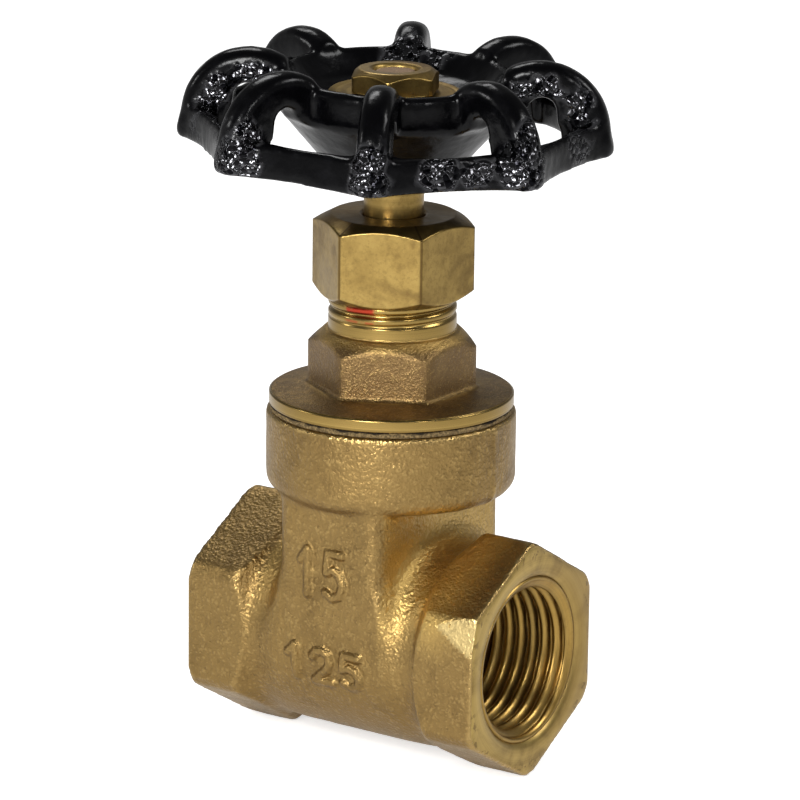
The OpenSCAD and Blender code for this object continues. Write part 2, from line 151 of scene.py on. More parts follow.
def splitXyz(tree, vector):
    return addNode(tree, "ShaderNodeSeparateXYZ", {0: vector})


def texturePlace(tree, kind):
    return addNode(tree, "ShaderNodeTexCoord", {})[kind]


def pointMm(tree):
    # object place in millimetres
    return scaledVector(tree, texturePlace(tree, "Object"), 1000)


def attributeNode(tree, name):
    return addNode(tree, "ShaderNodeAttribute", {}, attribute_name=name)["Fac"]


# camera, light and floor
view = {"place": (0.36451, -0.493045, 0.194656), "aim": (0.023515, 0.000635, 0.03121), "roll": 0.748,
        "lens": 215.01, "sensor": 36, "nearest": 0.01}


def makeCamera():
    camera = bpy.data.objects.new("camera", bpy.data.cameras.new("camera"))
    bpy.context.scene.collection.objects.link(camera)
    camera.location = view["place"]
    turn = (Vector(view["aim"]) - camera.location).to_track_quat("-Z", "Y")
    camera.rotation_mode = "QUATERNION"
    camera.rotation_quaternion = turn @ Quaternion((0, 0, 1), math.radians(view["roll"]))
    camera.data.lens = view["lens"]
    camera.data.sensor_width = view["sensor"]
    camera.data.clip_start = view["nearest"]
    bpy.context.scene.camera = camera


lampAimZ = 0.035
lamps = [
    # name, azimuth from +X, elevation, distance, width, height, watts
    ("keySoftbox", -78, 23, 0.50, 0.11, 0.12, 2.2),
    ("fillSoftbox", -25, 28, 0.50, 0.07, 0.08, 0.4),
    ("leftSoftbox", -147, 22, 0.50, 0.06, 0.07, 0.3),
    ("rightSoftbox", 35, 42, 0.50, 0.14, 0.12, 0.75),
    ("backSoftbox", 140, 48, 0.55, 0.20, 0.14, 0.6),
]


def makeLamps():
    for name, azimuth, elevation, distance, width, height, watts in lamps:
        data = bpy.data.lights.new(name, "AREA")
        data.shape = "RECTANGLE"
        data.size, data.size_y, data.energy = width, height, watts
        lamp = bpy.data.objects.new(name, data)
        bpy.context.scene.collection.objects.link(lamp)
        a, e = math.radians(azimuth), math.radians(elevation)
        direction = Vector((math.cos(a) * math.cos(e), math.sin(a) * math.cos(e), math.sin(e)))
        lamp.location = Vector((stemX, 0, lampAimZ)) + direction * distance
        lamp.rotation_euler = (-direction).to_track_quat("-Z", "Y").to_euler()
        lamp.visible_camera = False


# white for the camera; for the metal it dims upwards to the ceiling's level and backwards to backLevel
studio = {"white": (1.0, 1.0, 1.0), "ambient": 0.36, "ceiling": 0.26, "whiteTo": 0.02, "dimFrom": 0.46,
          "frontAzimuth": -105, "frontLevel": 0.56, "frontFrom": 0.75, "backLevel": 0.39, "backFrom": -0.35,
          "floorGlow": 0.62, "floorMirror": 0.5, "floorHalf": 6.0, "floorGap": 0.0002,
          "paper": (0.86, 0.86, 0.86), "paperRough": 0.9}


def mirrorRays(tree):
    # camera rays, and the mirror and glass rays that show the background on the object
    path = addNode(tree, "ShaderNodeLightPath", {})
    return path["Is Camera Ray"], larger(tree, path["Is Glossy Ray"], path["Is Transmission Ray"])


def frontLevel(tree, direction):
    # the studio is brightest in front, and dimmer behind the object
    a = math.radians(studio["frontAzimuth"])
    facing = vectorMath(tree, "DOT_PRODUCT", vectorMath(tree, "NORMALIZE", direction),
                        (math.cos(a), math.sin(a), 0))
    return rampNode(tree, facing, studio["backFrom"], studio["frontFrom"],
                    studio["backLevel"], studio["frontLevel"])


def makeWorld():
    world = bpy.data.worlds.new("studio")
    bpy.context.scene.world = world
    world.use_nodes = True
    tree = world.node_tree
    tree.nodes.clear()
    direction = texturePlace(tree, "Generated")
    level = rampNode(tree, splitXyz(tree, direction)["Z"], studio["whiteTo"], studio["dimFrom"],
                     1.0, studio["ceiling"])
    level = times(tree, level, frontLevel(tree, direction))
    camera, mirrored = mirrorRays(tree)
    shown = mixValue(tree, mirrored, studio["ambient"], level)
    back = addNode(tree, "ShaderNodeBackground",
                   {"Color": studio["white"], "Strength": mixValue(tree, camera, shown, 1.0)})
    addNode(tree, "ShaderNodeOutputWorld", {"Surface": back[0]})


def makeFloor():
    mesh = bpy.data.meshes.new("studioFloor")
    half, z = studio["floorHalf"], floorZ - studio["floorGap"]
    corners = [(-half, -half, z), (half, -half, z), (half, half, z), (-half, half, z)]
    mesh.from_pydata(corners, [], [(0, 1, 2, 3)])
    floor = bpy.data.objects.new("studioFloor", mesh)
    bpy.context.scene.collection.objects.link(floor)
    material = bpy.data.materials.new("studioFloor")
    material.use_nodes = True
    tree = material.node_tree
    tree.nodes.clear()
    # part of the paper's own shade stays, so the shadow shows
    camera, mirrored = mirrorRays(tree)
    level = times(tree, frontLevel(tree, texturePlace(tree, "Object")), studio["floorMirror"])
    seen = larger(tree, camera, times(tree, mirrored, level))
    paper = addNode(tree, "ShaderNodeBsdfPrincipled",
                    {"Base Color": studio["paper"], "Roughness": studio["paperRough"]})
    glow = addNode(tree, "ShaderNodeEmission",
                   {"Color": studio["white"], "Strength": times(tree, seen, studio["floorGlow"])})
    both = addNode(tree, "ShaderNodeAddShader", {0: paper[0], 1: glow[0]})
    addNode(tree, "ShaderNodeOutputMaterial", {"Surface": both[0]})
    mesh.materials.append(material)


makeCamera()
makeLamps()
makeWorld()
makeFloor()
bpy.context.scene.view_settings.view_transform = "Standard"
print("studio ready")


# cast grain and turning marks; a noise is its scale, detail, roughness and distortion
grainLook = {"pebbles": (1.9, 0.3), "fine": (3.4, 2.0, 0.5), "broad": (0.8, 2.0, 0.5),
             "pitsNoise": (1.5, 2.0, 0.5, 0.4), "pitsMask": (0.60, 0.72), "mottle": (0.16, 5.0, 0.6, 0.6),
             "pebbleRise": -1.1, "fineRise": 1.4, "broadRise": 1.5, "pitRise": -0.35}
turnedLook = {"lines": (9.0, 3.0, 0.7), "streak": (1.7, 3.0, 0.6)}


def patchy(tree, look, point, label):
    # a noise cut to patches
    return rampNode(tree, noiseNode(tree, point, *look[label + "Noise"]), *look[label + "Mask"])


def castGrainGroup():
    # sand-cast skin: pebbles, pits and broad waves; out comes a height and a mottle mask
    g = grainLook
    group, come, go = newGroup("castGrain", [("Point", "NodeSocketVector"), ("Size", "NodeSocketFloat")],
                               ["Height", "Mottle", "Pits"])
    point = scaledVector(group, come["Point"], mathNode(group, "DIVIDE", 1.0, come["Size"]))
    pits = patchy(group, g, point, "pits")
    height = times(group, cellNode(group, point, *g["pebbles"])["Distance"], g["pebbleRise"])
    height = plus(group, height, times(group, noiseNode(group, point, *g["fine"]), g["fineRise"]))
    height = plus(group, height, times(group, noiseNode(group, point, *g["broad"]), g["broadRise"]))
    feed(group, go["Height"], plus(group, height, times(group, pits, g["pitRise"])))
    feed(group, go["Mottle"], noiseNode(group, point, *g["mottle"]))
    feed(group, go["Pits"], pits)
    return group


def turnedLinesGroup():
    # fine rings that a lathe tool leaves round an axis
    group, come, go = newGroup("turnedLines", [("Radius", "NodeSocketFloat"), ("Along", "NodeSocketFloat")],
                               ["Height", "Streak"])
    place = addNode(group, "ShaderNodeCombineXYZ", {0: come["Radius"], 1: come["Along"]})[0]
    feed(group, go["Height"], noiseNode(group, place, *turnedLook["lines"]))
    feed(group, go["Streak"], noiseNode(group, place, *turnedLook["streak"]))
    return group


castGrain = castGrainGroup()
turnedLines = turnedLinesGroup()
brassTones = {
    # the cast light tone is a painted highlight: the grain's raised pebbles take it as sparkle
    "castMid": (0.275, 0.178, 0.063), "castDark": (0.140, 0.086, 0.032), "castLight": (0.46, 0.31, 0.115),
    "worn": (0.56, 0.39, 0.15), "cutMid": (0.25, 0.165, 0.050), "cutDark": (0.12, 0.072, 0.025),
    "cutLight": (0.36, 0.245, 0.076), "amber": (0.42, 0.25, 0.060), "endMid": (0.47, 0.33, 0.105),
    # the gold tone is painted light: the glow in the body's hollows and between the bonnet's cone and neck
    "filed": (0.56, 0.42, 0.18), "gold": (0.66, 0.44, 0.135), "redSkin": (0.19, 0.118, 0.052),
    "redPaint": (0.42, 0.05, 0.024), "stemEnd": (0.30, 0.20, 0.13),
}


def makeMaterial(name, build, look):
    # build gives the shader's inputs by name, and a height for the bump
    material = bpy.data.materials.new(name)
    material.use_nodes = True
    tree = material.node_tree
    tree.nodes.clear()
    inputs, height = build(tree, look)
    inputs["Normal"] = addNode(tree, "ShaderNodeBump", {
        "Strength": look["strength"], "Distance": look["relief"], "Height": height})["Normal"]
    shader = addNode(tree, "ShaderNodeBsdfPrincipled", inputs)
    addNode(tree, "ShaderNodeOutputMaterial", {"Surface": shader[0]})
    return material


def rampsOf(tree, look):
    # ramp(label, value) is a ramp by the numbers that the look gives under this label
    return lambda label, value: rampNode(tree, value, *look[label])


def metalPlaces(tree, axis, grainSize):
    # the point in millimetres, its radius and place along the axis, the cast grain and the turning marks
    point = pointMm(tree)
    x, y, z = splitXyz(tree, point)
    u, v, along = (mathNode(tree, "SUBTRACT", x, stemX / mm), y, z) if axis == "Z" else (y, z, x)
    radius = mathNode(tree, "SQRT", plus(tree, times(tree, u, u), times(tree, v, v)))
    grain = placeGroup(tree, castGrain, Point=point, Size=grainSize)
    lines = placeGroup(tree, turnedLines, Radius=radius, Along=along)
    return point, radius, along, grain, lines


def twoTone(tree, factor, first, second):
    return mixColour(tree, factor, brassTones[first], brassTones[second])


def tinted(tree, tone, tints, masks):
    # each tint takes the tone its share of the way to its goal, where its mask is 1
    for label, share, goal in tints:
        tone = mixColour(tree, times(tree, masks[label], share), tone, brassTones[goal])
    return tone


# pairs and fours are ramps, places are in millimetres, and tints are mask, share and goal
bodyLook = {
    "grainSize": 1.0, "wear": (0.10, 0.55), "cavity": (0.06, 0.50), "mottle": (0.30, 0.55, 0.55, 1.0),
    "light": (0.95, 1.5), "filedPits": (0.9, 0.3), "filedRelief": (0.0, 1.0, 1.0, 0.35),
    "endFace": (stemX / mm - 0.16, stemX / mm - 0.05), "socketRadius": (12.5, 12.3),
    "socketReach": (8.6, 8.9), "streak": (0.3, 0.7, 0.75, 1.0), "stain": (0.42, 0.66),
    "farSide": (1.0, 10.0), "nickRadius": (13.1, 14.2), "nickNoise": (0.9, 3.0, 0.6),
    "nickMask": (0.54, 0.62), "castRough": (0.85, 1.45, 0.42, 0.33), "wornRough": -0.10,
    "cutRough": (0.3, 0.7, 0.44, 0.36), "cutRelief": 0.08, "strength": 1.0, "relief": 0.000068,
    "castTints": [("light", 0.45, "castLight"), ("pits", 0.35, "castDark"), ("cavity", 0.3, "castDark"),
                  # painted light: the hollows beside the chamber take the gold glow
                  ("wear", 0.5, "worn"), ("nook", 0.95, "gold"), ("filed", 1.0, "filed")],
    "cutTints": [("stain", 0.55, "cutDark"), ("farSide", 0.5, "castMid"), ("nick", 0.7, "castDark")],
}


def bodyBrass(tree, look):
    ramp = rampsOf(tree, look)
    point, radius, x, grain, lines = metalPlaces(tree, "X", look["grainSize"])
    wear = ramp("wear", attributeNode(tree, "wear"))
    # the filed place on the near hex corner is bare bright metal, and the end face's outer edge is nicked
    filed = times(tree, attributeNode(tree, "filed"), ramp("filedPits", grain["Pits"]))
    nick = times(tree, ramp("nickRadius", radius), patchy(tree, look, point, "nick"))
    # the light mask paints a sparkle highlight on the grain's raised pebbles
    masks = {"light": ramp("light", grain["Height"]), "pits": grain["Pits"], "wear": wear, "filed": filed,
             # painted shade: hollows and creases are darkened towards castDark
             "cavity": ramp("cavity", attributeNode(tree, "cavity")), "nook": attributeNode(tree, "nook"),
             "stain": ramp("stain", grain["Mottle"]), "nick": nick,
             "farSide": ramp("farSide", splitXyz(tree, point)["Y"])}
    tone = twoTone(tree, ramp("mottle", grain["Mottle"]), "castDark", "castMid")
    tone = tinted(tree, tone, look["castTints"], masks)
    cutTone = twoTone(tree, ramp("streak", lines["Streak"]), "cutDark", "endMid")
    cutTone = tinted(tree, cutTone, look["cutTints"], masks)
    # cut faces at both pipe ends and in the sockets
    reach = mathNode(tree, "ABSOLUTE", mathNode(tree, "SUBTRACT", x, stemX / mm))
    inner = times(tree, ramp("socketRadius", radius), ramp("socketReach", reach))
    cut = larger(tree, ramp("endFace", reach), inner)
    castRough = plus(tree, ramp("castRough", grain["Height"]), times(tree, wear, look["wornRough"]))
    rough = mixValue(tree, cut, castRough, ramp("cutRough", lines["Streak"]))
    castHeight = times(tree, grain["Height"], ramp("filedRelief", filed))
    height = mixValue(tree, cut, castHeight, times(tree, lines["Height"], look["cutRelief"]))
    return {"Metallic": 1.0, "Base Color": mixColour(tree, cut, tone, cutTone), "Roughness": rough}, height


bonnetLook = {
    "grainSize": 0.55, "rimRadius": (15.6, 15.8), "rimTop": (32.85, 32.70), "neck": (41.15, 41.3),
    "spigot": (30.9, 30.7), "mottle": (0.38, 0.68, 0.1, 0.85), "light": (0.95, 1.5),
    "hexHeight": (33.4, 34.2), "hexRadius": (12.2, 11.6), "glowRadius": (10.6, 9.2),
    "glowHeight": (39.4, 40.4), "patchNoise": (1.1, 4.0, 0.7), "patchMask": (0.46, 0.62),
    "patchHeight": (33.5, 33.2), "wear": (0.15, 0.6), "streak": (0.35, 0.68),
    "smearLeft": (20.6, 21.4), "smearRight": (25.4, 24.9), "smearFront": (-4.5, -6.0),
    "smearHeight": (44.3, 44.5), "smearNoise": (0.55, 3.0, 0.6), "smearMask": (0.38, 0.5),
    "traceLow": (43.15, 43.3, 0.0, 0.6), "traceHigh": (43.6, 43.45), "castRough": 0.42, "cutRough": 0.26,
    "castRelief": 0.8, "cutRelief": 0.04, "strength": 1.0, "relief": 0.00006,
    "castTints": [("hex", 0.7, "redSkin"), ("light", 0.55, "castLight"), ("glow", 0.45, "gold"),
                  ("patch", 0.45, "castDark"), ("wear", 0.6, "worn")],
    "cutTints": [("smear", 1.0, "redPaint")],
}


def bonnetBrass(tree, look):
    ramp = rampsOf(tree, look)
    point, radius, z, grain, lines = metalPlaces(tree, "Z", look["grainSize"])
    x, y = splitXyz(tree, point)[:2]
    # a smear of red marking paint on the neck, and a thin trace of it a thread lower
    trace = times(tree, ramp("traceLow", z), ramp("traceHigh", z))
    smear = times(tree, larger(tree, trace, ramp("smearHeight", z)), patchy(tree, look, point, "smear"))
    for label, place in (("smearLeft", x), ("smearRight", x), ("smearFront", y)):
        smear = times(tree, smear, ramp(label, place))
    # light caught between the cone and the neck, and a patchy flange
    masks = {"hex": times(tree, ramp("hexHeight", z), ramp("hexRadius", radius)),
             # the light mask paints a sparkle highlight on the grain's raised pebbles
             "light": ramp("light", grain["Height"]), "smear": smear,
             "glow": times(tree, ramp("glowRadius", radius), ramp("glowHeight", z)),
             "patch": times(tree, patchy(tree, look, point, "patch"), ramp("patchHeight", z)),
             "wear": ramp("wear", attributeNode(tree, "wear"))}
    tone = twoTone(tree, ramp("mottle", grain["Mottle"]), "castDark", "castMid")
    tone = tinted(tree, tone, look["castTints"], masks)
    cutTone = twoTone(tree, ramp("streak", lines["Streak"]), "cutMid", "cutLight")
    cutTone = tinted(tree, cutTone, look["cutTints"], masks)
    # cut faces: the flange's rim, the neck and the spigot
    cut = times(tree, ramp("rimRadius", radius), ramp("rimTop", z))
    cut = larger(tree, larger(tree, cut, ramp("neck", z)), ramp("spigot", z))
    height = mixValue(tree, cut, times(tree, grain["Height"], look["castRelief"]),
                      times(tree, lines["Height"], look["cutRelief"]))
    return {"Metallic": 1.0, "Base Color": mixColour(tree, cut, tone, cutTone),
            "Roughness": mixValue(tree, cut, look["castRough"], look["cutRough"])}, height


# what all cut pieces share; a top or an end at 1000 mm is none
cutLook = {
    "axis": "Z", "grainSize": 1.4, "turned": 1.0, "streakNoise": (0.35, 5.0, 0.65), "streak": (0.3, 0.7),
    "stain": (0.50, 0.72), "speckNoise": (1.3, 5.0, 0.75), "speckMask": (0.46, 0.66),
    "amber": (0.4, 0.6, 0.1, 0.6), "wear": (0.15, 0.6), "top": (1000, 1001), "end": (1000, 1001),
    "endRough": 0.51, "mottle": (0.3, 0.7), "smoother": 0.85, "rougher": 1.35, "grainRelief": 1.2,
    "strength": 0.8, "relief": 0.00001,
}
speckTint, edgeTint = ("speck", 0.35, "cutDark"), ("wear", 0.5, "cutLight")
cutLooks = {
    # the packing nut's upper face is tarnished down to its bevel
    "nut": {"rough": 0.33, "turned": 0.1, "top": (55.3, 55.9),
            # on this nut the wear mark holds only the dark line drawn down each corner
            "tints": [("stain", 0.6, "cutDark"), speckTint, ("wear", 0.8, "cutDark"),
                      ("top", 0.55, "cutDark")]},
    "wheelNut": {"rough": 0.34, "turned": 0.1, "tints": [("stain", 0.9, "cutDark"), speckTint, edgeTint]},
    "stem": {"rough": 0.26, "end": (74.31, 74.51),
             "tints": [("stain", 0.35, "cutDark"), speckTint, edgeTint, ("end", 0.85, "stemEnd")]},
    "socket": {"rough": 0.34, "axis": "X",
               "tints": [("stain", 0.3, "cutDark"), speckTint, ("amber", 1.0, "amber"), edgeTint]},
    "disc": {"rough": 0.34, "tints": [("stain", 0.6, "cutDark"), speckTint, edgeTint]},
}


def cutBrass(tree, look):
    ramp = rampsOf(tree, look)
    point, radius, along, grain, lines = metalPlaces(tree, look["axis"], look["grainSize"])
    streak = mixValue(tree, look["turned"], noiseNode(tree, point, *look["streakNoise"]), lines["Streak"])
    masks = {"stain": ramp("stain", grain["Mottle"]), "speck": patchy(tree, look, point, "speck"),
             "amber": ramp("amber", streak), "wear": ramp("wear", attributeNode(tree, "wear")),
             "top": ramp("top", along), "end": ramp("end", along)}
    tone = twoTone(tree, ramp("streak", streak), "cutMid", "cutLight")
    rough = rampNode(tree, grain["Mottle"], *look["mottle"], look["rough"] * look["smoother"],
                     look["rough"] * look["rougher"])
    rough = larger(tree, rough, times(tree, masks["end"], look["endRough"]))
    height = plus(tree, times(tree, lines["Height"], look["turned"]),
                  times(tree, grain["Height"], look["grainRelief"]))
    tone = tinted(tree, tone, look["tints"], masks)
    return {"Metallic": 1.0, "Base Color": tone, "Roughness": rough}, height


# each pebble is a facet: its lean is the cell's own colour times leanSpan, plus leanFrom
paintLook = {
    "shine": 0.12, "pebbled": (0.0, 0.9), "cells": (1.25, 0.18), "leanSpan": (0.44, 0.44, 0.56),
    "leanFrom": (-0.22, -0.22, -0.52), "crown": -0.36, "peelNoise": (0.8, 2.0, 0.5),
    "peel": (0.0, 1.0, 0.05, 0.25), "dustNoise": (0.4, 4.0, 0.6), "dustMask": (0.45, 0.75),
    # the ramp on each cell's lean and the two pebble tones paint a glint on up-leaning pebbles and shade on
    # down-leaning ones
    "black": (0.0008, 0.0008, 0.0011), "dusty": (0.0030, 0.0030, 0.0036), "rubbed": (0.80, 0.45),
    "pebbleDark": (0.005, 0.005, 0.006), "pebbleBright": (0.075, 0.075, 0.080),
    "metal": (0.3, 0.6), "rough": (0.1, 0.5, 0.22, 0.15), "strength": 1.0, "relief": 0.001,
}


def wheelPaint(tree, look):
    ramp = rampsOf(tree, look)
    point = pointMm(tree)
    pebbled = ramp("pebbled", attributeNode(tree, "pebbled"))
    # facets and their crowns make some pebbles glint and leave some black
    cell = cellNode(tree, point, *look["cells"])
    offset = vectorMath(tree, "SUBTRACT", point, cell["Position"])
    lean = vectorMath(tree, "MULTIPLY_ADD", cell["Color"], look["leanSpan"], look["leanFrom"])
    crown = times(tree, vectorMath(tree, "DOT_PRODUCT", offset, offset), look["crown"])
    facet = times(tree, plus(tree, vectorMath(tree, "DOT_PRODUCT", offset, lean), crown), pebbled)
    peel = times(tree, noiseNode(tree, point, *look["peelNoise"]), ramp("peel", pebbled))
    tone = mixColour(tree, patchy(tree, look, point, "dust"), look["black"], look["dusty"])
    # painted glint and shade: pebbles whose facets lean up towards the lamps take a bright reflective tone,
    # and those leaning down a dark one
    rubbed = ramp("rubbed", splitXyz(tree, cell["Color"])["Z"])
    glintTone = mixColour(tree, rubbed, look["pebbleDark"], look["pebbleBright"])
    return {"Base Color": mixColour(tree, pebbled, tone, glintTone), "Metallic": ramp("metal", pebbled),
            "Roughness": ramp("rough", pebbled), "Specular IOR Level": look["shine"]}, plus(tree, facet, peel)


fibreLook = {"rough": 0.8, "shine": 0.15, "noise": (3.0, 4.0, 0.7), "speck": (0.4, 0.65),
             # the grime tone and its ramp are painted shade under the flange
             "dark": (0.070, 0.048, 0.022), "light": (0.230, 0.160, 0.070), "grimeNoise": (0.5, 3.0, 0.6),
             "grimeSpread": 0.7, "grimeHeight": (31.22, 31.36), "grime": (0.014, 0.010, 0.006),
             "strength": 0.8, "relief": 0.0001}


def fibreSheet(tree, look):
    ramp = rampsOf(tree, look)
    point = pointMm(tree)
    speck = noiseNode(tree, point, *look["noise"])
    tone = mixColour(tree, ramp("speck", speck), look["dark"], look["light"])
    # painted shade fills the gap under the flange and darkens the sheet's upper edge
    height = plus(tree, splitXyz(tree, point)["Z"],
                  times(tree, noiseNode(tree, point, *look["grimeNoise"]), look["grimeSpread"]))
    tone = mixColour(tree, ramp("grimeHeight", height), tone, look["grime"])
    return {"Base Color": tone, "Metallic": 0.0, "Roughness": look["rough"],
            "Specular IOR Level": look["shine"]}, speck


cordLook = {"rough": 0.6, "noise": (2.2, 3.0, 0.6), "dark": (0.62, 0.60, 0.54), "light": (0.86, 0.85, 0.80),
            "strength": 0.6, "relief": 0.0001}


def packingCord(tree, look):
    weave = noiseNode(tree, pointMm(tree), *look["noise"])
    tone = mixColour(tree, weave, look["dark"], look["light"])
    return {"Base Color": tone, "Metallic": 0.0, "Roughness": look["rough"]}, weave


finishes = {name: makeMaterial(name + "Brass", cutBrass, {**cutLook, **look})
            for name, look in cutLooks.items()}
for name, build, look in (("body", bodyBrass, bodyLook), ("bonnet", bonnetBrass, bonnetLook),
                          ("wheel", wheelPaint, paintLook), ("fibre", fibreSheet, fibreLook),
                          ("packing", packingCord, cordLook)):
    finishes[name] = makeMaterial(build.__name__, build, look)
print("finishes ready")


# mesh helpers
def showPiece(name, mesh, finish, bodyName, nodeName=None):
    piece = bpy.data.objects.new(name, mesh)
    bpy.context.scene.collection.objects.link(piece)
    mesh.materials.clear()
    mesh.materials.append(finishes[finish])
    for polygon in mesh.polygons:
        polygon.material_index = 0
        polygon.use_smooth = True
    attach(piece, bodyName)
    if nodeName:
        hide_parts(nodeName)


def readOut(items, label, width, kind=float):
    values = np.zeros(len(items) * width, dtype=kind)
    items.foreach_get(label, values)
    return values.reshape(-1, width)


def pointsOf(mesh):
    return readOut(mesh.vertices, "co", 3)


def edgesOf(mesh):
    return readOut(mesh.edges, "vertices", 2, np.int64)


def normalsOf(mesh):
    return readOut(mesh.vertex_normals, "vector", 3)


def setPoints(mesh, points):
    mesh.vertices.foreach_set("co", points.astype(np.float32).ravel())
    mesh.update()


def markPoints(mesh, label, values):
    attribute = mesh.attributes.new(label, "FLOAT", "POINT")
    attribute.data.foreach_set("value", values.astype(np.float32))


def fadeIn(values, start, width):
    # 0 up to the start, and 1 from this width beyond it
    return np.clip((values - start) / width, 0, 1)


def fadeOut(values, end, width):
    # 0 from the end on, and 1 up to this width before it
    return np.clip((end - values) / width, 0, 1)


def keptInBox(points, low, high):
    return np.clip(points, np.array(low), np.array(high))


def spread(values, edges, rounds, share):
    # each round, each point moves this share of the way to the mean of its neighbours
    flat = values.ndim == 1
    values = values.reshape(len(values), -1).astype(float)
    count = np.bincount(edges.ravel(), minlength=len(values)).clip(1)[:, None]
    for _ in range(rounds):
        total = np.zeros_like(values)
        for column in range(values.shape[1]):
            total[:, column] = (
                np.bincount(edges[:, 0], values[edges[:, 1], column], len(values))
                + np.bincount(edges[:, 1], values[edges[:, 0], column], len(values)))
        values = values + share * (total / count - values)
    return values[:, 0] if flat else values


def markWear(mesh, reach):
    # convex edges go to "wear", and hollows go to the mark that paints shade into them; a bend of this reach
    # counts in full
    points, normals, edges = pointsOf(mesh), normalsOf(mesh), edgesOf(mesh)
    pull = spread(points, edges, 2, 0.6) - points
    bend = spread(-(pull * normals).sum(1) / reach, edges, 2, 0.5)
    markPoints(mesh, "wear", np.clip(bend, 0, 1))
    markPoints(mesh, "cavity", np.clip(-bend, 0, 1))


def noiseAt(points, size, seed):
    # smooth noise from -1 to 1 at each point, with lumps of about this size
    shift = Vector((seed * 3.1, seed * 1.7, seed * 2.3))
    return np.array([noise.noise(Vector(p) / size + shift) for p in points])


def remeshedCopy(nodeName, voxel):
    # a node's solid, closed and cut into even faces
    work = bmesh.new()
    work.from_mesh(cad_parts[nodeName].data)
    bmesh.ops.remove_doubles(work, verts=work.verts, dist=2e-6)
    mesh = bpy.data.meshes.new(nodeName + "Skin")
    work.to_mesh(mesh)
    work.free()
    holder = bpy.data.objects.new("remeshHolder", mesh)
    bpy.context.scene.collection.objects.link(holder)
    modifier = holder.modifiers.new("remesh", "REMESH")
    modifier.mode = "VOXEL"
    modifier.voxel_size = voxel
    modifier.adaptivity = 0
    graph = bpy.context.evaluated_depsgraph_get()
    result = bpy.data.meshes.new_from_object(holder.evaluated_get(graph))
    bpy.data.objects.remove(holder)
    return result


def ringMesh(name, points, around):
    # rows of points round an axis, each joined to the next and the last to the first
    rows = len(points) // around
    faces = []
    for row in range(rows):
        after = (row + 1) % rows
        for i in range(around):
            j = (i + 1) % around
            faces.append((row * around + i, row * around + j, after * around + j, after * around + i))
    mesh = bpy.data.meshes.new(name)
    mesh.from_pydata(points, [], faces)
    work = bmesh.new()
    work.from_mesh(mesh)
    bmesh.ops.recalc_face_normals(work, faces=work.faces)
    work.to_mesh(mesh)
    work.free()
    return mesh


def turnedMesh(shape, reshape):
    # a closed section turned about the stem; reshape(angle, radius, height) may move each point
    profile = alongLine(shape["outer"], shape["step"]) + shape.get("inner", [])
    angles = hexAngles(shape["turn"]) if "turn" in shape else evenAngles(shape["around"])
    points = []
    for radius, height in profile:
        for angle in angles:
            r, z = reshape(angle, radius, height)
            points.append((stemX + r * math.cos(angle) * mm, r * math.sin(angle) * mm, z * mm))
    return ringMesh("turnedSkin", points, len(angles))


def alongLine(points, step):
    # a polyline cut into short pieces; corners stay
    out = []
    for (r0, z0), (r1, z1) in zip(points, points[1:]):
        count = max(1, math.ceil(math.hypot(r1 - r0, z1 - z0) / step))
        out += [(r0 + (r1 - r0) * i / count, z0 + (z1 - z0) * i / count) for i in range(count)]
    return out + [points[-1]]


def makeTurned(name, shape, reshape, finish, bodyName, nodeName, extra=None):
    mesh = turnedMesh(shape, reshape)
    if extra:
        extra(mesh)
    if "bend" in shape:
        markWear(mesh, shape["bend"])
    showPiece(name, mesh, finish, bodyName, nodeName)


def evenAngles(steps):
    return [2 * math.pi * i / steps for i in range(steps)]


def softMin(a, b, width):
    # the smaller of two lengths, with a rounded edge where they meet
    gap = abs(a - b)
    if gap >= width:
        return min(a, b)
    return min(a, b) - (width - gap) ** 2 / (4 * width)


def hexRadius(angle, flats, turn):
    # distance to a hex outline in that direction; a flat faces the turn angle
    local = (math.degrees(angle) - turn + 30) % 60 - 30
    return flats / 2 / math.cos(math.radians(local))


def hexAngles(turn, steps=20):
    # directions round a hex, closer together towards its corners
    shares = [1 - (1 - i / steps) ** 1.8 for i in range(steps)]
    return [math.radians(turn + 60 * side + 30 * s) for side in range(6)
            for s in [-t for t in reversed(shares[1:])] + shares + [1.0]]


def hexCut(shape):
    # a reshape that cuts what lies outside hexFromR to the shape's hex
    def reshape(angle, r, z):
        if r > shape["hexFromR"]:
            r = softMin(r, hexRadius(angle, shape["flats"], shape["turn"]), shape["cornerSoft"])
        return r, z
    return reshape


# cast body with its numerals: places in metres, except where a name ends in Mm
bodyShape = {
    "voxel": 0.00045, "smoothing": 2, "wave": 0.00005, "waveSize": 0.0034, "fineWave": 0.4,
    "barrelSoftening": 17, "barrelFromMm": 7.2, "barrelFadeMm": 1.2, "barrelToMm": 13.9, "barrelEndMm": 1.4,
    "barrelRadiusMm": 12.6, "barrelTop": 0.0192,
    "mouthRadiusMm": 11.7, "mouthReachMm": 21.0, "mouthMm": 1.0, "mouthFadeMm": 0.5, "mouthShare": 0.6,
    "socketR": 0.0119, "socketEnd": 0.0085, "chamberR": 0.0128, "faceSlack": 0.00035, "topSlack": 0.0003,
    "seam": 0.00014, "seamWidth": 0.00055, "seamGrain": 0.0022, "seamRough": 0.6, "seamSide": 0.35,
    "bend": 0.00012,
}
# the filed place on the near hex corner, and the box that it may touch
filedShape = {"length": 0.0044, "height": 0.0029, "depth": 0.00040, "hexFlat": 0.014, "leanY": 0.0008,
              "leanZ": 0.00046, "reach": 0.007, "front": -0.0118, "low": 0.0035, "high": 0.0105,
              "markFrom": -0.00002, "markFade": 0.00006}
